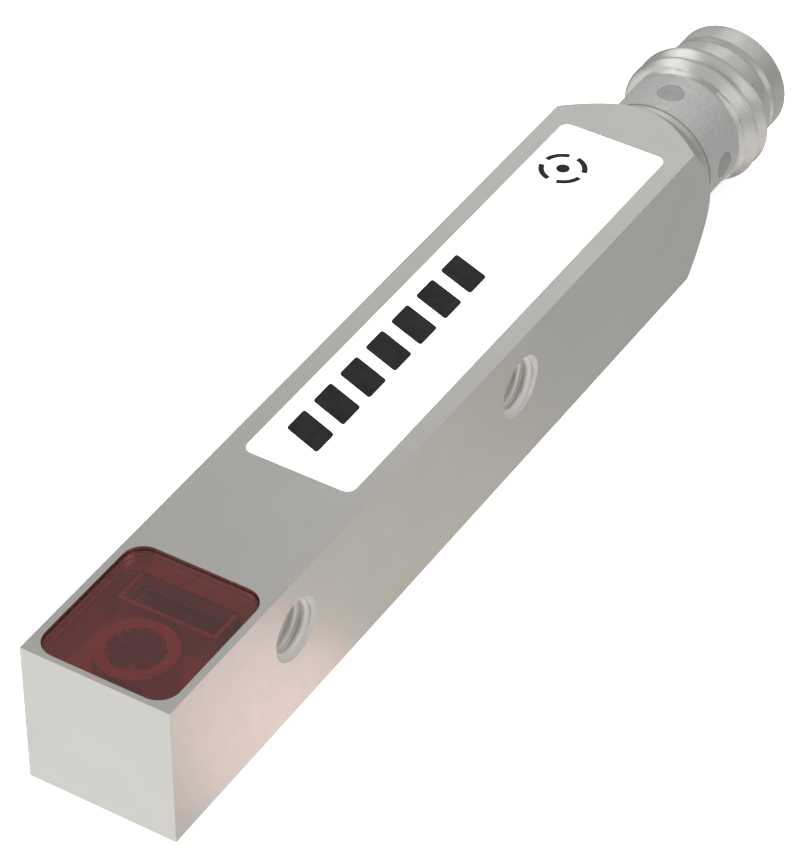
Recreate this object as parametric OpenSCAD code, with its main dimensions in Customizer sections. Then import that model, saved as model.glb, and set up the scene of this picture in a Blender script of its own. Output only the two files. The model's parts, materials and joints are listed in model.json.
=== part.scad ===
// Miniature block photoelectric sensor with an M8 plug connector.
//
// Frame: origin at the centre of the underside, +Z up through the sensing face,
// +Y along the body towards the connector, +X across the body.
// Lengths along the body are stations: millimetres behind the front face.

/* [Body] */
// Width and height of the square body
body_w = 8; // [8:0.1:9]
// Overall length, front face to connector end
total_len = 59; // [59:0.5:64]
// Length of the connector behind the body
connector_len = 9.2; // [9.2:0.1:9.4]
// Axial length of the cone that turns the rear corners down, per mm of radius
cone_slope = 1.24; // [1.1:0.02:1.4]
// Thickness of the long walls around the electronics
wall_t = 1.1; // [0.9:0.05:1.15]

/* [Window] */
// Width of the window pocket
window_w = 7.2; // [7:0.05:7.3]
// Length of the window pocket
window_l = 8.2; // [8.1:0.05:8.3]
// Corner radius of the window pocket
window_r = 1.1; // [0.9:0.05:1.3]
// Distance from the front face to the window pocket
window_front = 0.3; // [0.25:0.05:0.4]
// How far the pane lies below the sensing face
pane_recess = 0.2; // [0.1:0.05:0.3]
// Thickness of the red pane
pane_t = 0.8; // [0.7:0.05:1]

/* [Optics] */
// Station of the emitter barrel's axis
emitter_s = 3.2; // [3.1:0.05:3.3]
// Outer radius of the emitter barrel
barrel_r = 2; // [1.8:0.05:2.1]
// Radius of the barrel's bore
barrel_bore_r = 1.4; // [1.2:0.05:1.5]
// Station of the receiver hood's front side
hood_front_s = 5.55; // [5.45:0.05:5.65]
// Width of the receiver hood across the body
hood_w = 5.3; // [4.8:0.1:5.6]
// Wall thickness of the carrier
carrier_wall = 0.3; // [0.25:0.01:0.32]
// Wall thickness of the receiver hood
hood_wall = 0.2; // [0.15:0.01:0.3]

/* [Fixing holes] */
// Radius of the M3 holes at the thread's major diameter
m3_r = 1.5; // [1.25:0.05:1.5]
// Station of the front hole
hole_front_s = 10; // [10:0.1:10.4]
// Distance between the two holes
hole_pitch = 20; // [18:0.5:21]
// Depth of the hole axis below the sensing face
hole_depth = 3; // [2.95:0.05:3.05]
// Depth of the countersink at each mouth
mouth_chamfer = 0.15; // [0.1:0.05:0.2]

/* [Electronics] */
// Width of the main board
board_w = 4.4; // [4:0.1:4.4]
// Thickness of both boards
board_t = 0.6; // [0.5:0.05:0.6]
// Height of the main board's underside above the body's underside
board_z = 2; // [1.9:0.05:2]
// Station of the main board's rear edge
board_rear_s = 45.5; // [44.5:0.1:45.5]

/* [Connector] */
// Outer radius of the neck and of the light ring
neck_r = 3.35; // [3.2:0.05:3.4]
// Crest radius of the M8 thread
thread_r = 3.9; // [3.88:0.01:3.98]
// Pitch of the M8 thread
thread_pitch = 1; // [0.9:0.05:1]
// Root radius of the thread and radius of the shank behind it
shank_r = 3.33; // [3.3:0.01:3.36]
// Radius at the bottom of the undercut and of the snap groove
groove_r = 3.05; // [3:0.01:3.08]
// Outer radius of the end ring
end_ring_r = 3.25; // [3.2:0.01:3.28]
// Radius of the plug socket
socket_r = 2.75; // [2.7:0.01:2.8]
// Radius of a contact pin
pin_r = 0.5; // [0.4:0.05:0.5]
// Diameter of the light windows in the ring
light_window_d = 1.4; // [1.2:0.05:1.5]

/* [Label] */
// Width of the type label
label_w = 6; // [5:0.1:6.4]
// Length of the type label
label_l = 29.85; // [20:0.05:30]
// Station of the label's front edge
label_front_s = 16.25; // [15:0.05:17]
// Corner radius of the label
label_r = 0.5; // [0.3:0.05:1]
// Depth of the shallow recess that the label lies in
label_recess = 0.05; // [0.05:0.01:0.1]

/* [Hidden] */
$fn = 96;

play = 0.02; // clearance between parts that slip together
cut = 1; // overshoot of a cutting solid past the face that it cuts
edge = 0.15; // chamfer on the sleeve's ends and groove

axis_z = body_w / 2; // height of the connector axis
rear_s = total_len - connector_len; // station of the housing's rear face
cone_s = rear_s - 0.6; // station where the cone leaves the middle of each flat
rear_wall_t = 3.8; // rear wall, bored for the sleeve's tube
end_wall_t = 1; // front, bottom and top walls around the electronics
hole_z = body_w - hole_depth;
hole_stations = [hole_front_s, hole_front_s + hole_pitch];

// Window pocket and the optics below it
window_s = window_front + window_l / 2;
pane_top_z = body_w - pane_recess;
pane_z = pane_top_z - pane_t;
pane_w = window_w - 2 * play;
pane_l = window_l - 2 * play;
seal_t = 0.1;
seal_z = pane_z - seal_t;
ledge_l = 0.75; // ledge behind the optics that the pane's rear edge lies on
well_w = window_w; // width of the deep part of the pocket
well_l = window_l - ledge_l;
well_s = window_front + well_l / 2;
well_r = window_r;
floor_z = body_w - 2.85; // top of the optics carrier's floor
optics_board_top_z = floor_z - carrier_wall;
well_z = optics_board_top_z - board_t;
carrier_top_z = seal_z;
carrier_w = well_w - 2 * play;
carrier_l = well_l - 2 * play;
hood_rear_s = well_s + carrier_l / 2; // the hood's rear side is the carrier's rear wall
receiver_s = (hood_front_s + hood_rear_s) / 2;
lens_t = 0.8;
lens_drop = 0.4; // depth of a lens's crown below the carrier's top
lens_ledge = 0.25; // width of the ledge that a lens lies on
lens_seat_z = carrier_top_z - lens_drop - lens_t;

// Label
label_s = label_front_s + label_l / 2;

// Electronics space
cavity_w = body_w - 2 * wall_t;
cavity_front_s = end_wall_t;
cavity_rear_s = rear_s - rear_wall_t;
cavity_floor_z = end_wall_t;
cavity_top_z = body_w - end_wall_t;
shoulder_w = 0.3; // step on each side that the main board lies on
channel_w = board_w - 2 * shoulder_w;
boss_r = m3_r + 0.6; // bar around each fixing hole
front_block_s = hole_front_s + boss_r + 0.5; // rear end of the solid metal around the optics
board_top_z = board_z + board_t;
board_front_s = 2;
SMALL_PACKAGE = [2.9, 1.3, 1.1]; // three-legged package: width, length, height
FLAT_CHIP = [0.5, 1, 0.35]; // resistor with its length along the body

// Connector stations
collar_rear_s = rear_s + 0.55;
ring_front_s = rear_s + 0.63;
ring_rear_s = rear_s + 3.75;
light_s = rear_s + 2.15; // middle of the light windows
light_turns = [0 : 90 : 270]; // places of the light windows around the ring
thread_s = ring_rear_s + 1; // middle of the first thread crest
shank_s = ring_rear_s + 0.5; // rear side of the undercut
snap_s = total_len - 1.7; // front side of the snap groove
snap_l = 0.4;
tube_r = 2.95; // joint between the sleeve's tube and what it fits into
tube_front_s = rear_s - 3.4;
tube_bore_r = 2.45;
guide_front_s = tube_front_s + 0.6; // ends of the light guide inside the sleeve's tube
guide_rear_s = ring_rear_s - 0.1;
step_s = ring_rear_s + 0.35; // where the tube's bore widens into the socket
carrier_body_r = 1.95; // barrel of the pin carrier inside the light guide
carrier_front_s = rear_s - 0.8;
potting_front_s = carrier_front_s - 1.4;
insulator_s = step_s + 0.3; // face that the contact pins stand on
pin_tip_s = total_len - 0.7;
pin_tail_s = rear_s - 2.4;
pin_places = [[-1.25, -0.55], [1.25, -0.55], [0, 0.95]]; // contacts 1, 3 and 4 about the axis
rib_rear_s = total_len - 1.5; // end of the rib that keys the plug

// Turns a station into a Y coordinate
function sy(s) = s - total_len / 2;

// Solid of revolution about the connector axis, from [radius, station] points
module turned(profile) {
    translate([0, sy(0), axis_z])
        rotate([-90, 0, 0])
            rotate_extrude()
                polygon(profile);
}

// Round bar along the connector's direction, centred at [x, z]
module along(r, s0, s1, x = 0, z = axis_z) {
    translate([x, sy(s0), z])
        rotate([-90, 0, 0])
            cylinder(r = r, h = s1 - s0);
}

// Round bar across the body at one station
module across(r, s, z, length) {
    translate([-length / 2, sy(s), z])
        rotate([0, 90, 0])
            cylinder(r = r, h = length);
}

// Block centred at x on a station range, from z0 to z1
module block(w, s0, s1, z0, z1, x = 0) {
    translate([x - w / 2, sy(s0), z0])
        cube([w, s1 - s0, z1 - z0]);
}

// Flat plate with round corners, centred on a station
module rounded_plate(w, l, r, s, z0, z1) {
    translate([0, sy(s), z0])
        linear_extrude(z1 - z0)
            union() {
                square([w, l - 2 * r], center = true);
                square([w - 2 * r, l], center = true);
                for (x = [-1, 1], y = [-1, 1])
                    translate([x * (w / 2 - r), y * (l / 2 - r)])
                        circle(r);
            }
}

// The M3 holes with a countersink at each mouth
module fixing_holes() {
    for (s = hole_stations) {
        across(m3_r, s, hole_z, body_w + 2 * cut);
        for (side = [-1, 1])
            translate([side * body_w / 2, sy(s), hole_z])
                rotate([0, -side * 90, 0])
                    translate([0, 0, -cut])
                        cylinder(r1 = m3_r + mouth_chamfer + cut, r2 = m3_r, h = mouth_chamfer + cut);
    }
}

// Space for the electronics, without the bars that carry the fixing holes
module electronics_space() {
    difference() {
        block(cavity_w, cavity_front_s, cavity_rear_s, board_z, cavity_top_z);
        for (s = hole_stations)
            across(boss_r, s, hole_z, body_w);
        block(body_w, window_front, front_block_s, well_z, body_w);
    }
    block(channel_w, cavity_front_s, cavity_rear_s, cavity_floor_z, board_z);
}

module housing() {
    color("silver")
        difference() {
            intersection() {
                block(body_w, 0, rear_s, 0, body_w);
                turned([
                    [0, -cut],
                    [body_w, -cut],
                    [body_w, cone_s - cone_slope * body_w / 2],
                    [body_w / 2 - (rear_s - cone_s) / cone_slope, rear_s],
                    [0, rear_s]
                ]);
            }
            rounded_plate(window_w, window_l, window_r, window_s, seal_z, body_w + cut);
            rounded_plate(well_w, well_l, well_r, well_s, well_z, pane_z);
            electronics_space();
            fixing_holes();
            along(tube_r, cavity_rear_s - cut, rear_s + cut);
            rounded_plate(label_w, label_l, label_r, label_s, body_w - label_recess, body_w + cut);
        }
}

module window_pane() {
    color([0.55, 0.05, 0.06, 0.6])
        rounded_plate(pane_w, pane_l, window_r - play, window_s, pane_z, pane_top_z);
}

module window_seal() {
    color("dimgray")
        difference() {
            rounded_plate(pane_w, pane_l, window_r - play, window_s, seal_z, pane_z);
            rounded_plate(window_w - 2 * carrier_wall, well_l - 2 * carrier_wall, window_r - carrier_wall,
                          well_s, seal_z - cut, pane_z + cut);
        }
}

// Rectangular tube or its opening around the receiver
module hood_block(inset, z0, z1) {
    block(hood_w - 2 * inset, hood_front_s + inset, hood_rear_s - inset, z0, z1);
}

// Round bar standing on the emitter axis
module on_emitter(r, z0, z1) {
    translate([0, sy(emitter_s), z0])
        cylinder(r = r, h = z1 - z0);
}

module optics_carrier() {
    color("silver")
        difference() {
            union() {
                difference() {
                    rounded_plate(carrier_w, carrier_l, well_r, well_s, optics_board_top_z, carrier_top_z);
                    rounded_plate(carrier_w - 2 * carrier_wall, carrier_l - 2 * carrier_wall,
                                  well_r - carrier_wall / 2, well_s, floor_z, carrier_top_z + cut);
                }
                on_emitter(barrel_r, optics_board_top_z, carrier_top_z);
                hood_block(0, optics_board_top_z, carrier_top_z);
            }
            on_emitter(barrel_bore_r, lens_seat_z, carrier_top_z + cut);
            on_emitter(barrel_bore_r - lens_ledge, optics_board_top_z - cut, lens_seat_z + cut);
            hood_block(hood_wall, lens_seat_z, carrier_top_z + cut);
            hood_block(hood_wall + lens_ledge, optics_board_top_z - cut, lens_seat_z + cut);
        }
}

module emitter_lens() {
    sphere_r = 2.4;
    crown_z = lens_seat_z + lens_t;
    color([0.9, 0.9, 0.95, 0.5])
        intersection() {
            on_emitter(barrel_bore_r - play, lens_seat_z, crown_z + cut);
            translate([0, sy(emitter_s), crown_z - sphere_r])
                sphere(sphere_r);
        }
}

module receiver_lens() {
    arch_r = 1.5;
    crown_z = lens_seat_z + lens_t;
    color([0.9, 0.9, 0.95, 0.5])
        intersection() {
            hood_block(hood_wall + play, lens_seat_z, crown_z);
            across(arch_r, receiver_s, crown_z - arch_r, hood_w);
        }
}

module emitter_led() {
    package_w = 1.2;
    package_h = 0.35;
    package_top_z = optics_board_top_z + package_h;
    light_spot_r = 0.3;
    light_spot_h = 0.15;
    color("gold") {
        translate([0, 0, optics_board_top_z])
            block(package_w, emitter_s - package_w / 2, emitter_s + package_w / 2, 0, package_h);
        on_emitter(light_spot_r, package_top_z, package_top_z + light_spot_h);
    }
}

module receiver_chip() {
    chip_w = 3.6;
    chip_l = 0.8;
    chip_top_z = optics_board_top_z + 0.4;
    color("darkslategray")
        block(chip_w, receiver_s - chip_l / 2, receiver_s + chip_l / 2, optics_board_top_z, chip_top_z);
}

module optics_board() {
    color("darkgreen")
        rounded_plate(well_w - 4 * play, well_l - 4 * play, well_r, well_s, well_z, optics_board_top_z);
}

// Connector that stands between the two boards
module board_connector() {
    connector_w = 3.2;
    connector_l = 1.2;
    connector_s = 5;
    color("black")
        block(connector_w, connector_s, connector_s + connector_l, board_top_z, well_z);
}

module main_board() {
    color("darkgreen")
        block(board_w, board_front_s, board_rear_s, board_z, board_top_z);
}

// Electronic part lying on the main board, from its [width, length, height]
module on_board(size, s, x = 0) {
    block(size.x, s - size.y / 2, s + size.y / 2, board_top_z, board_top_z + size.z, x);
}

// Small moulded package with legs along both long sides
module legged_package(s, leg_xs) {
    leg = [0.4, 0.45, 0.2];
    on_board(SMALL_PACKAGE, s);
    for (x = leg_xs, side = [-1, 1])
        on_board(leg, s + side * (SMALL_PACKAGE.y + leg.y) / 2, x);
}

module control_chip() {
    color("black")
        on_board([3.5, 3.5, 0.9], 15.5);
}

module voltage_regulator() {
    color("black")
        legged_package(34.5, [-0.95, 0, 0.95]);
}

module output_transistor() {
    color("black")
        legged_package(38, [-0.95, 0.95]);
}

module protection_diodes() {
    color("dimgray")
        for (x = [-1.15, 1.15])
            on_board([1.4, 2.6, 1], 41.8, x);
}

module tantalum_capacitor() {
    color("goldenrod")
        on_board([1.6, 3.2, 1.6], 24.5, -1.2);
}

module ceramic_capacitors() {
    color("tan") {
        for (s = [18.6, 19.8, 21])
            on_board([1, 0.5, 0.5], s, -1);
        for (s = [22, 23.6, 25.2])
            on_board([0.8, 1.2, 0.7], s, 1.2);
    }
}

module chip_resistors() {
    under_bar_h = 0.25;
    color("black") {
        for (s = [18.6, 19.6, 20.6])
            on_board([FLAT_CHIP.y, FLAT_CHIP.x, FLAT_CHIP.z], s, 1);
        for (x = [-1.5, -0.5, 0.5, 1.5]) {
            on_board(FLAT_CHIP, 12.5, x);
            on_board([FLAT_CHIP.x, FLAT_CHIP.y, under_bar_h], hole_stations[1] - 0.5, x);
        }
    }
}

module indicator_leds() {
    color("khaki")
        for (x = [-1.7, 1.7])
            on_board([0.8, 0.8, 0.6], 45, x);
}

module light_guide() {
    color([0.95, 0.95, 0.9, 0.5])
        turned([
            [carrier_body_r + play, guide_front_s],
            [tube_bore_r - play, guide_front_s],
            [tube_bore_r - play, guide_rear_s],
            [carrier_body_r + play, guide_rear_s]
        ]);
}

// One annular ridge of the thread: a flat crest between two 30 degree flanks
function crest_points(s) =
    let (crest = thread_pitch / 10, foot = crest + (thread_r - shank_r) * tan(30))
        [[shank_r, s - foot], [thread_r, s - crest], [thread_r, s + crest], [shank_r, s + foot]];

module threaded_sleeve() {
    light_bore_r = light_window_d / 2 - 0.1;
    color("silver")
        difference() {
            turned(concat(
                [
                    [tube_bore_r, tube_front_s],
                    [tube_r - play, tube_front_s],
                    [tube_r - play, ring_rear_s],
                    [groove_r, ring_rear_s],
                    [groove_r, shank_s],
                    [shank_r, shank_s]
                ],
                crest_points(thread_s),
                crest_points(thread_s + thread_pitch),
                [
                    [shank_r, snap_s],
                    [groove_r, snap_s + edge],
                    [groove_r, snap_s + snap_l - edge],
                    [end_ring_r, snap_s + snap_l],
                    [end_ring_r, total_len - edge],
                    [end_ring_r - edge, total_len],
                    [socket_r + edge, total_len],
                    [socket_r, total_len - edge],
                    [socket_r, step_s],
                    [tube_bore_r, step_s]
                ]
            ));
            for (turn = light_turns)
                radial_bar(light_bore_r, carrier_body_r, neck_r, turn);
        }
}

// Round bar standing on the connector axis at the light windows' station
module radial_bar(r, r0, r1, turn) {
    translate([0, sy(light_s), axis_z])
        rotate([0, turn, 0])
            translate([0, 0, r0])
                cylinder(r = r, h = r1 - r0);
}

module neck_collar() {
    color("silver")
        turned([[tube_r, rear_s], [neck_r, rear_s], [neck_r, collar_rear_s], [tube_r, collar_rear_s]]);
}

module collar_gasket() {
    sunk_depth = 0.06;
    sunk_r = neck_r - sunk_depth;
    color("dimgray")
        turned([
            [tube_r, collar_rear_s],
            [sunk_r, collar_rear_s],
            [sunk_r, ring_front_s],
            [tube_r, ring_front_s]
        ]);
}

// The ring's own tube, without its four openings
module ring_body() {
    turned([[tube_r, ring_front_s], [neck_r, ring_front_s], [neck_r, ring_rear_s], [tube_r, ring_rear_s]]);
}

module light_ring() {
    color([0.8, 0.8, 0.8, 0.8])
        difference() {
            ring_body();
            for (turn = light_turns)
                radial_bar(light_window_d / 2, tube_r - cut, neck_r + cut, turn);
        }
}

module light_windows() {
    color("gray")
        intersection() {
            ring_body();
            for (turn = light_turns)
                radial_bar(light_window_d / 2 - play / 2, tube_r - cut, neck_r + cut, turn);
        }
}

module pin_carrier() {
    rib_w = 0.8;
    rib_h = 0.45;
    color("dimgray")
        difference() {
            union() {
                turned([
                    [0, carrier_front_s],
                    [carrier_body_r, carrier_front_s],
                    [carrier_body_r, ring_rear_s],
                    [tube_bore_r - play, ring_rear_s],
                    [tube_bore_r - play, step_s],
                    [socket_r - play, step_s],
                    [socket_r - play, insulator_s],
                    [0, insulator_s]
                ]);
                intersection() {
                    block(rib_w, insulator_s, rib_rear_s, 0, axis_z - socket_r + rib_h);
                    along(socket_r - play, insulator_s, rib_rear_s);
                }
            }
            for (place = pin_places)
                along(pin_r, carrier_front_s - cut, insulator_s + cut, place.x, axis_z + place.y);
        }
}

// Contact pin with a chamfered tip, at a place about the connector axis
module contact_pin(place) {
    tip = 0.25;
    color("gold")
        translate([place.x, sy(0), axis_z + place.y])
            rotate([-90, 0, 0])
                rotate_extrude()
                    polygon([
                        [0, pin_tail_s],
                        [pin_r, pin_tail_s],
                        [pin_r, pin_tip_s - tip],
                        [pin_r - tip, pin_tip_s],
                        [0, pin_tip_s]
                    ]);
}

module contact_pin_1() {
    contact_pin(pin_places[0]);
}

module contact_pin_3() {
    contact_pin(pin_places[1]);
}

module contact_pin_4() {
    contact_pin(pin_places[2]);
}

// Straight piece of wire between two points, with a bead at its far end
module wire_run(from, to, r, bead_r) {
    run = to - from;
    length = norm(run);
    tilt = acos(run.z / length);
    turn = atan2(run.y, run.x);
    translate(from)
        rotate([0, tilt, turn])
            cylinder(r = r, h = length);
    translate(to)
        sphere(bead_r);
}

// Wires from the tails of the contact pins down to the main board
module lead_wires() {
    wire_r = 0.2;
    bead_r = 0.26;
    bend_s = pin_tail_s - 0.5;
    side_pad_s = board_rear_s - 1.8;
    pads = [[-0.7, side_pad_s], [0.7, side_pad_s], [0, side_pad_s - 0.8]];
    color("goldenrod")
        for (i = [0 : 2]) {
            place = pin_places[i];
            tail = [place.x, sy(pin_tail_s), axis_z + place.y];
            bend = [place.x, sy(bend_s), axis_z + place.y];
            pad = [pads[i].x, sy(pads[i].y), board_top_z + bead_r];
            wire_run(tail, bend, wire_r, bead_r);
            wire_run(bend, pad, wire_r, bead_r);
        }
}

module potting_resin() {
    color("saddlebrown")
        difference() {
            along(carrier_body_r, potting_front_s, carrier_front_s);
            for (place = pin_places)
                along(pin_r, potting_front_s - cut, carrier_front_s + cut, place.x, axis_z + place.y);
        }
}

module type_label() {
    film_t = 0.8 * label_recess;
    bottom_z = body_w - label_recess;
    color("white")
        rounded_plate(label_w - play, label_l - play, label_r, label_s, bottom_z, bottom_z + film_t);
}

housing();
window_pane();
window_seal();
optics_carrier();
emitter_lens();
receiver_lens();
emitter_led();
receiver_chip();
optics_board();
board_connector();
main_board();
control_chip();
voltage_regulator();
output_transistor();
protection_diodes();
tantalum_capacitor();
ceramic_capacitors();
chip_resistors();
indicator_leds();
light_guide();
threaded_sleeve();
neck_collar();
collar_gasket();
light_ring();
light_windows();
pin_carrier();
contact_pin_1();
contact_pin_3();
contact_pin_4();
lead_wires();
potting_resin();
type_label();
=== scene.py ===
import json
import math

import bmesh
import bpy
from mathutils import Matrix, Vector


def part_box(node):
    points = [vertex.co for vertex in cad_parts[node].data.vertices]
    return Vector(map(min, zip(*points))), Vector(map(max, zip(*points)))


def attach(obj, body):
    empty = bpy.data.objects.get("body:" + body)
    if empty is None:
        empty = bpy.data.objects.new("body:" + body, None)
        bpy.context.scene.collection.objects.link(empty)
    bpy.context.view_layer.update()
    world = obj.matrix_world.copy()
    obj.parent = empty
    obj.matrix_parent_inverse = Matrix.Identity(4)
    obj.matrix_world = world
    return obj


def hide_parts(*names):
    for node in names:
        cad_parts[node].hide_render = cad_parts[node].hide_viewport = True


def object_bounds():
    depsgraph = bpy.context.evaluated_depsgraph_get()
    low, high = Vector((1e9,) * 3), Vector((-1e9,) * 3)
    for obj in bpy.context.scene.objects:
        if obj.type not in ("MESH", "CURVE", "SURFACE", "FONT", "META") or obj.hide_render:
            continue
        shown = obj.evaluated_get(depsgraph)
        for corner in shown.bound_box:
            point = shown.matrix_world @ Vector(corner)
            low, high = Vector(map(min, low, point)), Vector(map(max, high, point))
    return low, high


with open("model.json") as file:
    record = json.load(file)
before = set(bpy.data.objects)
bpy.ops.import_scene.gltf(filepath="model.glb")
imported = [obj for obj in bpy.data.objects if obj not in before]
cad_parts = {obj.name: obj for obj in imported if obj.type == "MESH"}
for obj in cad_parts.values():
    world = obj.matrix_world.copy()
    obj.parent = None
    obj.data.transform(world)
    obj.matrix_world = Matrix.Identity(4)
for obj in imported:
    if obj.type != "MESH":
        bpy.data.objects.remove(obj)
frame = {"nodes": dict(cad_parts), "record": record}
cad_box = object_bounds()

# Shapes are made in millimetres in the shared frame, and turned into metres when their object is made.
MM = 0.001
TAU = 2 * math.pi


# ---------------------------------------------------------------- sizes, all from the frame

def box_mm(node):
    """Lowest and highest corner of a CAD node, in millimetres."""
    low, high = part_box(node)
    return low / MM, high / MM


def mount_mm(name):
    """Place and dimensions of one of the record's mounts, in millimetres."""
    mount = next(m for m in frame["record"]["mounts"] if m["name"] == name)
    return Vector(mount["pos_m"]) / MM, mount["dims"]


BODY_LOW, BODY_HIGH = box_mm("housing")
_, RING_HIGH = box_mm("light_ring")
SLEEVE_LOW, SLEEVE_HIGH = box_mm("threaded_sleeve")
_, CARRIER_HIGH = box_mm("optics_carrier")
LABEL_LOW, LABEL_HIGH = box_mm("type_label")
LENS_LOW, LENS_HIGH = box_mm("emitter_lens")

AXIS_Z = (BODY_LOW.z + BODY_HIGH.z) / 2  # height of the plug's axis
CREST_R = SLEEVE_HIGH.x  # radius over the M8 thread
HOLES_AT, HOLES = mount_mm("fixing_holes")


# ---------------------------------------------------------------- mesh helpers

def make_object(name, points, faces, smooth_angle=40.0, join_mm=0.0):
    """Mesh object from points in millimetres. Edges sharper than the angle stay sharp, and points that
    lie within join_mm of each other become one."""
    mesh = bpy.data.meshes.new(name)
    mesh.from_pydata([Vector(p) * MM for p in points], [], faces)
    mesh.validate()
    bm = bmesh.new()
    bm.from_mesh(mesh)
    if join_mm:
        bmesh.ops.remove_doubles(bm, verts=bm.verts, dist=join_mm * MM)
    bmesh.ops.recalc_face_normals(bm, faces=bm.faces)
    bm.to_mesh(mesh)
    bm.free()
    mesh.polygons.foreach_set("use_smooth", [True] * len(mesh.polygons))
    mesh.set_sharp_from_angle(angle=math.radians(smooth_angle))
    piece = bpy.data.objects.new(name, mesh)
    bpy.context.scene.collection.objects.link(piece)
    return piece


def add_piece(piece, slot, material, *replaced):
    """Puts a new piece on the fixed body, with its material, and hides the CAD nodes it replaces. The slot
    is not used.
    """
    piece.data.materials.append(material)
    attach(piece, "root")
    if replaced:
        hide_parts(*replaced)


def grid_faces(rows, columns, close_rows=True):
    """Quads between rows of points that each go once round, and back to the first row if closed."""
    faces = []
    for i in range(rows if close_rows else rows - 1):
        for j in range(columns):
            k = (j + 1) % columns
            n = (i + 1) % rows
            faces.append((i * columns + j, i * columns + k, n * columns + k, n * columns + j))
    return faces


def soften(profile, radius, steps=3):
    """Rounds the corners of a closed outline of 2-D points, as far as the sides next to them allow."""
    longest = 0.45  # of a side, so that the curves at its two ends don't meet
    out = []
    count = len(profile)
    for i in range(count):
        before, here, after = (Vector(profile[(i + k) % count]) for k in (-1, 0, 1))
        back, ahead = before - here, after - here
        reach = min(radius, longest * back.length, longest * ahead.length)
        start = here + back.normalized() * reach
        end = here + ahead.normalized() * reach
        for step in range(steps + 1):
            t = step / steps
            out.append((1 - t) ** 2 * start + 2 * t * (1 - t) * here + t ** 2 * end)
    return out


def ring_points(radius, y, columns):
    """Points of one turn about the plug's axis."""
    turns = [TAU * j / columns for j in range(columns)]
    return [(radius * math.cos(a), y, AXIS_Z + radius * math.sin(a)) for a in turns]


def extruded(name, outlines, z0, z1):
    """Upright prisms over closed outlines of (x, y) points, as one object."""
    points, faces = [], []
    for outline in outlines:
        first, count = len(points), len(outline)
        points += [(x, y, z) for z in (z0, z1) for x, y in outline]
        faces.append([first + i for i in reversed(range(count))])
        faces.append([first + count + i for i in range(count)])
        for i in range(count):
            k = (i + 1) % count
            faces.append([first + i, first + k, first + count + k, first + count + i])
    return make_object(name, points, faces)


# ---------------------------------------------------------------- materials

def new_material(name):
    """Material with an empty node tree but for a principled shader and its output."""
    material = bpy.data.materials.new(name)
    material.use_nodes = True
    tree = material.node_tree
    tree.nodes.clear()
    shader = tree.nodes.new("ShaderNodeBsdfPrincipled")
    output = tree.nodes.new("ShaderNodeOutputMaterial")
    tree.links.new(shader.outputs["BSDF"], output.inputs["Surface"])
    return material, tree, shader


NOISE_LOW, NOISE_HIGH = 0.3, 0.7  # nearly all of a noise texture's values lie between these


def noise_node(tree, per_mm, detail):
    """Noise in object space, with so many cells per millimetre."""
    place = tree.nodes.new("ShaderNodeTexCoord")
    noise = tree.nodes.new("ShaderNodeTexNoise")
    noise.inputs["Scale"].default_value = per_mm / MM
    noise.inputs["Detail"].default_value = detail
    tree.links.new(place.outputs["Object"], noise.inputs["Vector"])
    return noise


def vary_colour(tree, shader, dark, light, per_mm):
    """Base colour that wanders between two colours."""
    noise = noise_node(tree, per_mm, detail=3.0)
    ramp = tree.nodes.new("ShaderNodeValToRGB")
    ramp.color_ramp.elements[0].position = NOISE_LOW
    ramp.color_ramp.elements[0].color = (*dark, 1.0)
    ramp.color_ramp.elements[1].position = NOISE_HIGH
    ramp.color_ramp.elements[1].color = (*light, 1.0)
    tree.links.new(noise.outputs["Fac"], ramp.inputs["Fac"])
    tree.links.new(ramp.outputs["Color"], shader.inputs["Base Color"])


def vary_roughness(tree, shader, low, high, per_mm):
    """Roughness that wanders between two values."""
    noise = noise_node(tree, per_mm, detail=3.0)
    span = tree.nodes.new("ShaderNodeMapRange")
    span.inputs["From Min"].default_value = NOISE_LOW
    span.inputs["From Max"].default_value = NOISE_HIGH
    span.inputs["To Min"].default_value = low
    span.inputs["To Max"].default_value = high
    tree.links.new(noise.outputs["Fac"], span.inputs["Value"])
    tree.links.new(span.outputs["Result"], shader.inputs["Roughness"])


def add_bump(tree, shader, per_mm, height_mm):
    """Fine grain, so many grains per millimetre and so high."""
    noise = noise_node(tree, per_mm, detail=2.0)
    bump = tree.nodes.new("ShaderNodeBump")
    bump.inputs["Strength"].default_value = 1.0
    bump.inputs["Distance"].default_value = height_mm * MM
    tree.links.new(noise.outputs["Fac"], bump.inputs["Height"])
    tree.links.new(bump.outputs["Normal"], shader.inputs["Normal"])


def satin_metal(name, dark, light, rough=(0.29, 0.33), grain_mm=0.0012):
    """Nickel-plated metal with a fine blasted grain."""
    material, tree, shader = new_material(name)
    shader.inputs["Metallic"].default_value = 1.0
    vary_colour(tree, shader, dark, light, per_mm=0.35)
    vary_roughness(tree, shader, *rough, per_mm=1.5)
    add_bump(tree, shader, per_mm=14.0, height_mm=grain_mm)
    return material


def moulded(name, dark, light, rough=(0.45, 0.6), grain_mm=0.002, grain_per_mm=9.0,
            colour_per_mm=1.2, specular=0.5, metallic=0.0):
    """Moulded plastic, rubber or resin, or dull cut metal, with a fine texture."""
    material, tree, shader = new_material(name)
    shader.inputs["Metallic"].default_value = metallic
    shader.inputs["Specular IOR Level"].default_value = specular
    vary_colour(tree, shader, dark, light, colour_per_mm)
    vary_roughness(tree, shader, *rough, per_mm=3.0)
    add_bump(tree, shader, grain_per_mm, grain_mm)
    return material


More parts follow.
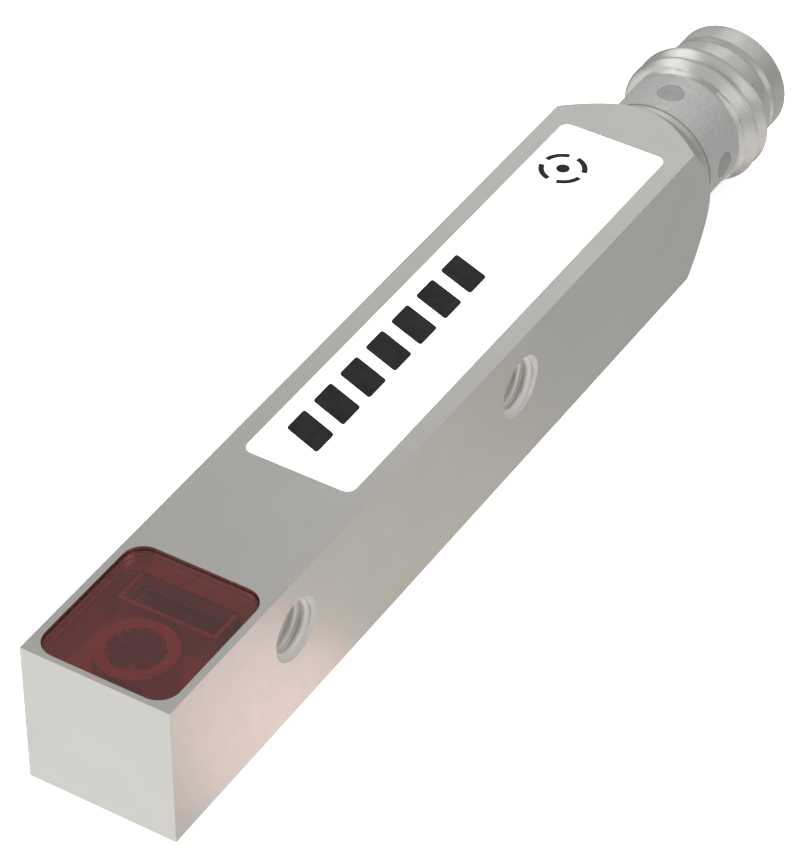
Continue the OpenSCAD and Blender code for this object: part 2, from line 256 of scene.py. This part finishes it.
def paint_light_along(material, axis, start_mm, end_mm, start_factor, end_factor):
    """Multiplies a material's colour by a factor that changes along an axis, alike on both sides of 0, to
    paint light and shade into it.
    """
    tree = material.node_tree
    socket = next(n for n in tree.nodes if n.type == "BSDF_PRINCIPLED").inputs["Base Color"]
    source = socket.links[0].from_socket
    place = tree.nodes.new("ShaderNodeTexCoord")
    split = tree.nodes.new("ShaderNodeSeparateXYZ")
    distance = tree.nodes.new("ShaderNodeMath")
    distance.operation = "ABSOLUTE"
    fade = tree.nodes.new("ShaderNodeMapRange")
    fade.inputs["From Min"].default_value = start_mm * MM
    fade.inputs["From Max"].default_value = end_mm * MM
    fade.inputs["To Min"].default_value = start_factor
    fade.inputs["To Max"].default_value = end_factor
    scale = tree.nodes.new("ShaderNodeVectorMath")
    scale.operation = "SCALE"
    tree.links.new(place.outputs["Object"], split.inputs["Vector"])
    tree.links.new(split.outputs[axis], distance.inputs[0])
    tree.links.new(distance.outputs["Value"], fade.inputs["Value"])
    tree.links.new(source, scale.inputs[0])
    tree.links.new(fade.outputs["Result"], scale.inputs["Scale"])
    tree.links.new(scale.outputs["Vector"], socket)


def clear_plastic(name, dark, light, ior=1.49):
    """Transparent moulded plastic, very slightly wavy."""
    material, tree, shader = new_material(name)
    shader.inputs["Transmission Weight"].default_value = 1.0
    shader.inputs["IOR"].default_value = ior
    vary_colour(tree, shader, dark, light, per_mm=0.3)
    vary_roughness(tree, shader, 0.01, 0.03, per_mm=1.0)
    add_bump(tree, shader, per_mm=0.8, height_mm=0.0002)
    return material


housing_metal = satin_metal("housing_metal", (0.622, 0.612, 0.585), (0.642, 0.632, 0.603))
sleeve_metal = satin_metal("sleeve_metal", (0.64, 0.63, 0.60), (0.70, 0.69, 0.655), rough=(0.24, 0.32),
                           grain_mm=0.0007)
red_window = clear_plastic("red_window", (0.70, 0.17, 0.155), (0.75, 0.19, 0.17), ior=1.57)
clear_lens = clear_plastic("clear_lens", (0.90, 0.90, 0.92), (0.96, 0.96, 0.97))
window_adhesive = moulded("window_adhesive", (0.34, 0.30, 0.28), (0.42, 0.38, 0.35), rough=(0.5, 0.65))
grey_gasket = moulded("grey_gasket", (0.20, 0.20, 0.19), (0.26, 0.26, 0.25), rough=(0.55, 0.7))
carrier_plastic = moulded("carrier_plastic", (0.58, 0.54, 0.51), (0.66, 0.62, 0.59))
paint_light_along(carrier_plastic, "Z", CARRIER_HIGH.z - 2.0, CARRIER_HIGH.z, 1.32, 0.78)  # painted light: paler lower down in the tub, painted shade towards its rim
insulator_plastic = moulded("insulator_plastic", (0.020, 0.020, 0.021), (0.034, 0.033, 0.033))
led_package = moulded("led_package", (0.72, 0.66, 0.42), (0.82, 0.78, 0.55), rough=(0.2, 0.35))
chip_package = moulded("chip_package", (0.016, 0.016, 0.018), (0.028, 0.028, 0.03), rough=(0.4, 0.6))
circuit_board = moulded("circuit_board", (0.010, 0.090, 0.035), (0.014, 0.120, 0.048), rough=(0.22, 0.36))
capacitor_body = moulded("capacitor_body", (0.42, 0.26, 0.11), (0.52, 0.34, 0.16), rough=(0.28, 0.42))
resin = moulded("resin", (0.090, 0.036, 0.012), (0.130, 0.056, 0.020), rough=(0.12, 0.22))
cut_thread_metal = moulded("cut_thread_metal", (0.80, 0.77, 0.735), (0.86, 0.83, 0.795), rough=(0.4, 0.5),
                           metallic=0.5)
paint_light_along(cut_thread_metal, "X", BODY_HIGH.x - 1.1, BODY_HIGH.x, 1.0, 0.56)  # painted light deep in the holes, painted shade darker towards their mouths
frosted_plastic = moulded("frosted_plastic", (0.37, 0.37, 0.365), (0.43, 0.43, 0.42), rough=(0.34, 0.42),
                          grain_mm=0.004, grain_per_mm=8.0, colour_per_mm=5.0, metallic=0.7)
smoked_plastic = moulded("smoked_plastic", (0.18, 0.18, 0.18), (0.21, 0.21, 0.205), rough=(0.34, 0.42),
                         metallic=0.4)
label_film = moulded("label_film", (0.90, 0.90, 0.90), (0.93, 0.93, 0.93), rough=(0.3, 0.4),
                     grain_mm=0.0004)
label_ink = moulded("label_ink", (0.006, 0.006, 0.006), (0.011, 0.010, 0.010), rough=(0.6, 0.7),
                    grain_mm=0.0004, specular=0.2)
gold_contact = satin_metal("gold_contact", (0.80, 0.55, 0.20), (0.86, 0.62, 0.26), rough=(0.2, 0.3),
                           grain_mm=0.0006)


# ---------------------------------------------------------------- CAD nodes that stay

SEE_THROUGH = (red_window, clear_lens)
AIR_GAP = 0.008  # round a clear piece, so that light leaves it before it meets the piece it touches
WELD = 0.0005  # points of a CAD mesh that lie this near to each other become one
FLAT_DEGREES = 0.5  # faces that meet at less than this become one
SHARP_DEGREES = 25  # edges sharper than this are rounded


def dress(node, material, bevel_mm):
    """Gives a CAD node its material, and rounds its edges with modifiers."""
    piece = frame["nodes"][node]
    piece.data.materials.clear()
    piece.data.materials.append(material)
    # The CAD mesh's own normals go, because the modifiers and the smooth shading make new ones.
    if "custom_normal" in piece.data.attributes:
        piece.data.attributes.remove(piece.data.attributes["custom_normal"])
    piece.data.polygons.foreach_set("use_smooth", [True] * len(piece.data.polygons))
    weld = piece.modifiers.new("weld", "WELD")
    weld.merge_threshold = WELD * MM
    flatten = piece.modifiers.new("flatten", "DECIMATE")
    flatten.decimate_type = "DISSOLVE"
    flatten.angle_limit = math.radians(FLAT_DEGREES)
    bevel = piece.modifiers.new("bevel", "BEVEL")
    bevel.width = bevel_mm * MM
    bevel.segments = 2
    bevel.limit_method = "ANGLE"
    bevel.angle_limit = math.radians(SHARP_DEGREES)
    bevel.harden_normals = True
    bevel.use_clamp_overlap = True
    if material in SEE_THROUGH:
        shrink = piece.modifiers.new("shrink", "DISPLACE")
        shrink.mid_level = 0.0
        shrink.strength = -AIR_GAP * MM


for node, material, bevel_mm in (
    ("housing", housing_metal, 0.05),
    ("window_pane", red_window, 0.04),
    ("window_seal", window_adhesive, 0.01),
    ("optics_carrier", carrier_plastic, 0.05),
    ("emitter_lens", clear_lens, 0.01),
    ("receiver_lens", clear_lens, 0.02),
    ("emitter_led", led_package, 0.03),
    ("receiver_chip", chip_package, 0.03),
    ("optics_board", circuit_board, 0.02),
    ("board_connector", chip_package, 0.05),
    ("main_board", circuit_board, 0.02),
    ("control_chip", chip_package, 0.04),
    ("voltage_regulator", chip_package, 0.04),
    ("output_transistor", chip_package, 0.04),
    ("protection_diodes", chip_package, 0.06),
    ("tantalum_capacitor", capacitor_body, 0.08),
    ("ceramic_capacitors", capacitor_body, 0.04),
    ("chip_resistors", chip_package, 0.02),
    ("indicator_leds", led_package, 0.04),
    ("light_guide", clear_lens, 0.03),
    ("threaded_sleeve", sleeve_metal, 0.04),
    ("neck_collar", housing_metal, 0.04),
    ("collar_gasket", grey_gasket, 0.01),
    ("light_ring", frosted_plastic, 0.03),
    ("light_windows", smoked_plastic, 0.01),
    ("pin_carrier", insulator_plastic, 0.04),
    ("contact_pin_1", gold_contact, 0.03),
    ("contact_pin_3", gold_contact, 0.03),
    ("contact_pin_4", gold_contact, 0.03),
    ("lead_wires", gold_contact, 0.01),
    ("potting_resin", resin, 0.04),
    ("type_label", label_film, 0.005),
):
    dress(node, material, bevel_mm)


# ---------------------------------------------------------------- M8 plug sleeve with its helical thread

# Radii
SHANK_R = 3.33
GROOVE_R = 3.05  # of the undercut and of the snap groove
END_RING_R = 3.25
SOCKET_R = 2.75
TUBE_R = 2.93  # of the thin tube that runs inside the light ring
TUBE_BORE_R = 2.45

# Lengths behind the light ring
UNDERCUT_END = 0.12
SOCKET_FLOOR_AT = 0.35
THREAD_START = 0.38
THREAD_END = 2.5

# The snap groove: a station near its middle, ahead of the sleeve's end, and its corners behind that
SNAP_AT = 1.7
SNAP_SHANK_EDGE = -0.25
SNAP_FLOOR = (0.04, 0.10)
SNAP_RING_EDGE = 0.32

END_CHAMFER = 0.15
SOFT_R = 0.06  # rounding of the sleeve's corners

PITCH_M8 = 1.0
M8_FLAT = 0.05
M8_FLANK_DEGREES = 40
M8_CREST_AT = 1.19  # one crest's place behind the ring, on the line so many degrees below the right side
M8_CREST_DEGREES = 30
LEAD_SLOPE = 2.5  # how steeply the thread rises out of the shank at its ends


def ridge(distance, pitch, depth, flat, flank_degrees):
    """Height of a thread with straight flanks, at a distance from the middle of a crest."""
    offset = abs((distance + pitch / 2) % pitch - pitch / 2)
    foot = flat / 2 + depth * math.tan(math.radians(flank_degrees))
    return depth * min(1.0, max(0.0, (foot - offset) / (foot - flat / 2)))


def thread_rows(columns):
    """Helical rows of points from THREAD_START to THREAD_END, with ends that lie flat at both."""
    per_pitch = 16
    # Every column needs enough rows to reach past both ends, wherever the helix puts its crest.
    first = math.floor((THREAD_START - M8_CREST_AT) * per_pitch / PITCH_M8) - 1
    last = math.ceil((THREAD_END - M8_CREST_AT) * per_pitch / PITCH_M8) + per_pitch + 2
    rows = []
    for i in range(first, last):
        row = []
        for j in range(columns + 1):
            turn = TAU * j / columns
            from_crest = PITCH_M8 * i / per_pitch
            crest_at = M8_CREST_AT - PITCH_M8 * (turn + math.radians(M8_CREST_DEGREES)) / TAU
            behind = min(THREAD_END, max(THREAD_START, crest_at + from_crest))
            height = ridge(behind - crest_at, PITCH_M8, CREST_R - SHANK_R, M8_FLAT, M8_FLANK_DEGREES)
            room = LEAD_SLOPE * min(behind - THREAD_START, THREAD_END - behind)
            radius = SHANK_R + min(height, room)
            row.append((radius * math.cos(turn), RING_HIGH.y + behind, AXIS_Z + radius * math.sin(turn)))
        rows.append(row)
    return rows


def make_sleeve():
    """Sleeve with a right-hand helical thread, whose mesh rows follow the helix."""
    columns = 192
    ring_y, end_y = RING_HIGH.y, SLEEVE_HIGH.y
    snap_y = end_y - SNAP_AT
    outline = soften([
        (SHANK_R, ring_y + THREAD_END),
        (SHANK_R, snap_y + SNAP_SHANK_EDGE),
        (GROOVE_R, snap_y + SNAP_FLOOR[0]),
        (GROOVE_R, snap_y + SNAP_FLOOR[1]),
        (END_RING_R, snap_y + SNAP_RING_EDGE),
        (END_RING_R, end_y - END_CHAMFER),
        (END_RING_R - END_CHAMFER, end_y),
        (SOCKET_R + END_CHAMFER, end_y),
        (SOCKET_R, end_y - END_CHAMFER),
        (SOCKET_R, ring_y + SOCKET_FLOOR_AT),
        (TUBE_BORE_R, ring_y + SOCKET_FLOOR_AT),
        (TUBE_BORE_R, SLEEVE_LOW.y),
        (TUBE_R, SLEEVE_LOW.y),
        (TUBE_R, ring_y),
        (GROOVE_R, ring_y),
        (GROOVE_R, ring_y + UNDERCUT_END),
        (SHANK_R, ring_y + THREAD_START),
    ], SOFT_R)
    # The thread joins on at the first and last corners, so these two are not rounded.
    plain = [(SHANK_R, ring_y + THREAD_END)] + outline[4:-4] + [(SHANK_R, ring_y + THREAD_START)]
    points = [p for radius, y in plain for p in ring_points(radius, y, columns)]
    faces = grid_faces(len(plain), columns, close_rows=False)
    first = len(points)
    rows = thread_rows(columns)
    wide = columns + 1
    for i, row in enumerate(rows):
        points += row
        if i < len(rows) - 1:
            for j in range(columns):
                a = first + i * wide + j
                faces.append((a, a + 1, a + 1 + wide, a + wide))
    sleeve = make_object("plug_sleeve", points, faces, smooth_angle=50, join_mm=0.0002)
    add_piece(sleeve, "housing_metal", sleeve_metal, "threaded_sleeve")


# ---------------------------------------------------------------- threads inside the fixing holes

PITCH_M3 = 0.5
M3_DEPTH = 0.2
M3_FLAT = 0.2
M3_FLANK_DEGREES = 30
MOUTH_CHAMFER = 0.15
SKIN = 0.004  # how far the lining stands in front of the body's own metal


def make_fixing_thread(name, y):
    """Closed tube that lines a hole: a right-hand M3 thread that fades into the mouths' countersinks."""
    major_r = HOLES["hole_r_mm"]
    reach = BODY_HIGH.x - SKIN
    columns, rows = 72, 160
    points = []
    for i in range(rows + 1):
        x = -reach + 2 * reach * i / rows
        cone_r = major_r + MOUTH_CHAMFER - (BODY_HIGH.x - abs(x))
        for j in range(columns):
            angle = TAU * j / columns
            crest_at = -PITCH_M3 * angle / TAU
            thread_r = major_r - ridge(x - crest_at, PITCH_M3, M3_DEPTH, M3_FLAT, M3_FLANK_DEGREES)
            r = max(thread_r, cone_r) - SKIN
            points.append((x, y + r * math.cos(angle), HOLES_AT.z + r * math.sin(angle)))
    outer_r = major_r + MOUTH_CHAMFER + SKIN
    for x in (reach, -reach):
        for j in range(columns):
            angle = TAU * j / columns
            points.append((x, y + outer_r * math.cos(angle), HOLES_AT.z + outer_r * math.sin(angle)))
    piece = make_object(name, points, grid_faces(rows + 3, columns), smooth_angle=60)
    add_piece(piece, "housing_metal", cut_thread_metal)


# ---------------------------------------------------------------- ribs inside the emitter barrel

def make_barrel_ribs():
    """Upright half-round ribs on the barrel's bore, from the lens up to just below the rim."""
    count, rib_r, sides = 18, 0.10, 12
    sunk_in_lens, below_rim = 0.4, 0.1
    axis = (LENS_LOW + LENS_HIGH) / 2
    bore_r = (LENS_HIGH.x - LENS_LOW.x) / 2
    ribs = []
    for i in range(count):
        turn = TAU * i / count
        x, y = axis.x + bore_r * math.cos(turn), axis.y + bore_r * math.sin(turn)
        corners = [TAU * k / sides for k in range(sides)]
        ribs.append([(x + rib_r * math.cos(a), y + rib_r * math.sin(a)) for a in corners])
    upright = extruded("emitter_barrel_ribs", ribs, LENS_HIGH.z - sunk_in_lens, CARRIER_HIGH.z - below_rim)
    add_piece(upright, "carrier_plastic", carrier_plastic)


# ---------------------------------------------------------------- print on the label

def make_print(name, outlines):
    """Thin flat shapes of ink on the label, each from its outline of (x, y) points."""
    sunk, proud = 0.001, 0.003
    ink = extruded(name, outlines, LABEL_HIGH.z - sunk, LABEL_HIGH.z + proud)
    add_piece(ink, "label_film", label_ink)


def make_stripe_row():
    """Row of seven equal slanted blocks along the label."""
    count, pitch, width, slant, corner_r = 7, 2.30, 1.55, 0.75, 0.18
    side_margin, length, front_margin = 0.93, 2.17, 1.6
    x_low = LABEL_LOW.x + side_margin
    x_high = x_low + length
    first_y = LABEL_LOW.y + front_margin
    blocks = []
    for i in range(count):
        y = first_y + i * pitch
        corners = [(x_low, y + slant), (x_high, y), (x_high, y + width), (x_low, y + width + slant)]
        blocks.append(soften(corners, corner_r, steps=4))
    make_print("label_stripes", blocks)


def ring_outline(x, y, r_in, r_out, start, end, steps=40):
    """Stretch of a flat ring between two angles in degrees."""
    angles = [math.radians(start + (end - start) * i / steps) for i in range(steps + 1)]
    outer = [(x + r_out * math.cos(a), y + r_out * math.sin(a)) for a in angles]
    inner = [(x + r_in * math.cos(a), y + r_in * math.sin(a)) for a in reversed(angles)]
    return outer + inner


def make_target_mark():
    """Generic aiming mark: a ring in four quarters round a dot."""
    side_margin, rear_margin = 1.9, 3.4
    r_in, r_out, dot_r, gap_degrees, sides = 0.95, 1.25, 0.35, 12, 32
    x, y = LABEL_LOW.x + side_margin, LABEL_HIGH.y - rear_margin
    quarters = [ring_outline(x, y, r_in, r_out, 90 * i + gap_degrees, 90 * (i + 1) - gap_degrees)
                for i in range(4)]
    turns = [TAU * i / sides for i in range(sides)]
    dot = [(x + dot_r * math.cos(a), y + dot_r * math.sin(a)) for a in turns]
    make_print("label_mark", quarters + [dot])


make_sleeve()
for name, side in (("fixing_thread_front", -1), ("fixing_thread_rear", 1)):
    make_fixing_thread(name, HOLES_AT.y + side * HOLES["spacing_x_mm"] / 2)
make_barrel_ribs()
make_stripe_row()
make_target_mark()


# ---------------------------------------------------------------- stage, light and camera

def plain_surface(name, colour, rough, glow):
    """Even material that also gives off a little light of its own."""
    material, _, shader = new_material(name)
    shader.inputs["Base Color"].default_value = (*colour, 1.0)
    shader.inputs["Roughness"].default_value = rough
    shader.inputs["Emission Color"].default_value = (*colour, 1.0)
    shader.inputs["Emission Strength"].default_value = glow
    return material


def make_floor():
    """Pale floor under the body, large enough to fill every view of it."""
    half, sunk = 400.0, 0.01
    z = BODY_LOW.z - sunk
    corners = [(-half, -half, z), (half, -half, z), (half, half, z), (-half, half, z)]
    floor = make_object("floor", corners, [(0, 1, 2, 3)])
    floor.data.materials.append(plain_surface("floor_paper", (0.93, 0.93, 0.93), rough=0.9, glow=0.6))
    floor.visible_glossy = False
    floor.visible_shadow = False


def direction(azimuth, elevation):
    """Unit vector from the object. Azimuth 0 is in front of the sensor and 90 on its right."""
    a, e = math.radians(azimuth), math.radians(elevation)
    return Vector((math.sin(a) * math.cos(e), -math.cos(a) * math.cos(e), math.sin(e)))


def soft_box(name, azimuth, elevation, distance_mm, size_mm, radiance, aim_mm=(0, 0, 0),
             colour=(1.0, 1.0, 1.0)):
    """Round area light that looks at a point from a direction. Power follows from its radiance."""
    back = direction(azimuth, elevation)
    light = bpy.data.lights.new(name, "AREA")
    light.shape = "DISK"
    light.size = size_mm * MM
    light.energy = radiance * math.pi * math.pi * (light.size / 2) ** 2
    light.color = colour
    lamp = bpy.data.objects.new(name, light)
    lamp.location = (Vector(aim_mm) + back * distance_mm) * MM
    lamp.rotation_euler = back.to_track_quat("Z", "Y").to_euler()
    bpy.context.scene.collection.objects.link(lamp)
    return lamp


def make_world(grey, glows):
    """Studio surroundings: an even grey with soft round glows, each (azimuth, elevation, width, colour).
    A glow fades out at its width, in degrees from its middle. One with a negative colour darkens."""
    world = bpy.data.worlds.new("studio")
    world.use_nodes = True
    tree = world.node_tree
    tree.nodes.clear()
    place = tree.nodes.new("ShaderNodeTexCoord")
    total = None
    for azimuth, elevation, width, colour in glows:
        dot = tree.nodes.new("ShaderNodeVectorMath")
        dot.operation = "DOT_PRODUCT"
        dot.inputs[1].default_value = direction(azimuth, elevation)
        tree.links.new(place.outputs["Generated"], dot.inputs[0])
        fall = tree.nodes.new("ShaderNodeMapRange")
        fall.interpolation_type = "SMOOTHSTEP"
        fall.inputs["From Min"].default_value = math.cos(math.radians(width))
        fall.inputs["From Max"].default_value = 1.0
        tree.links.new(dot.outputs["Value"], fall.inputs["Value"])
        add = tree.nodes.new("ShaderNodeVectorMath")
        add.operation = "MULTIPLY_ADD"
        tree.links.new(fall.outputs["Result"], add.inputs[0])
        add.inputs[1].default_value = colour
        if total is None:
            add.inputs[2].default_value = (grey, grey, grey)
        else:
            tree.links.new(total, add.inputs[2])
        total = add.outputs["Vector"]
    background = tree.nodes.new("ShaderNodeBackground")
    output = tree.nodes.new("ShaderNodeOutputWorld")
    tree.links.new(total, background.inputs["Color"])
    tree.links.new(background.outputs["Background"], output.inputs["Surface"])
    bpy.context.scene.world = world


CAMERA_AZIMUTH = 31.75
CAMERA_ELEVATION = 40.87
CAMERA_DISTANCE = 0.20494  # metres
CAMERA_AIM = Vector((-0.78, -2.46, -1.95)) * MM  # from the middle of the object's box
CAMERA_LENS = 174.54


def make_camera():
    """Camera on a long lens, aimed just beside the middle of the object's box."""
    low, high = cad_box
    target = (low + high) / 2 + CAMERA_AIM
    back = direction(CAMERA_AZIMUTH, CAMERA_ELEVATION)
    camera = bpy.data.cameras.new("camera")
    camera.lens = CAMERA_LENS
    camera.sensor_width = 36.0
    camera.clip_start = 0.01
    camera.clip_end = 5.0
    seat = bpy.data.objects.new("camera", camera)
    seat.location = target + back * CAMERA_DISTANCE
    seat.rotation_euler = back.to_track_quat("Z", "Y").to_euler()
    bpy.context.scene.collection.objects.link(seat)
    bpy.context.scene.camera = seat


make_camera()
make_floor()
make_world(0.40, [
    (-175, 45, 65, (0.17, 0.17, 0.165)),
    (150, -36, 40, (0.11, 0.11, 0.10)),
    (-32, -38, 50, (0.61, 0.61, 0.60)),
    (56, -42, 34, (0.37, 0.37, 0.37)),
    (0, 10, 75, (0.22, 0.22, 0.22)),
    (-45, 26, 26, (0.85, 0.85, 0.85)),
    (32, 12, 22, (0.42, 0.42, 0.42)),
    (74, 16, 26, (0.45, 0.45, 0.45)),
    (170, 48, 32, (0.13, 0.13, 0.13)),
    (-130, 8, 32, (0.16, 0.16, 0.16)),
    (-168, 4, 36, (-0.20, -0.20, -0.20)),
])
# The metal and the window reflect the world and the three cards only: the lamps don't show in them.
overhead = soft_box("overhead_light", azimuth=-30, elevation=80, distance_mm=600, size_mm=560, radiance=7.3)
overhead.visible_glossy = False
overhead.visible_transmission = False
soft_box("rear_card", azimuth=-155, elevation=41, distance_mm=160, size_mm=105, radiance=0.29,
         aim_mm=(0, 48, 8))
soft_box("side_card", azimuth=148, elevation=-41, distance_mm=130, size_mm=100, radiance=0.20,
         aim_mm=(4, -60, 0), colour=(1.0, 0.84, 0.64))
soft_box("side_glint", azimuth=148, elevation=-41, distance_mm=24, size_mm=11, radiance=0.62,
         aim_mm=(4, -23.9, 0.5), colour=(1.0, 0.66, 0.68))
for name, azimuth, elevation, radiance in (("fill_right", 100, 48, 1.8), ("fill_left", -50, 62, 1.3)):
    fill = soft_box(name, azimuth, elevation, distance_mm=400, size_mm=300, radiance=radiance)
    fill.visible_glossy = False
bpy.context.scene.view_settings.view_transform = "Standard"
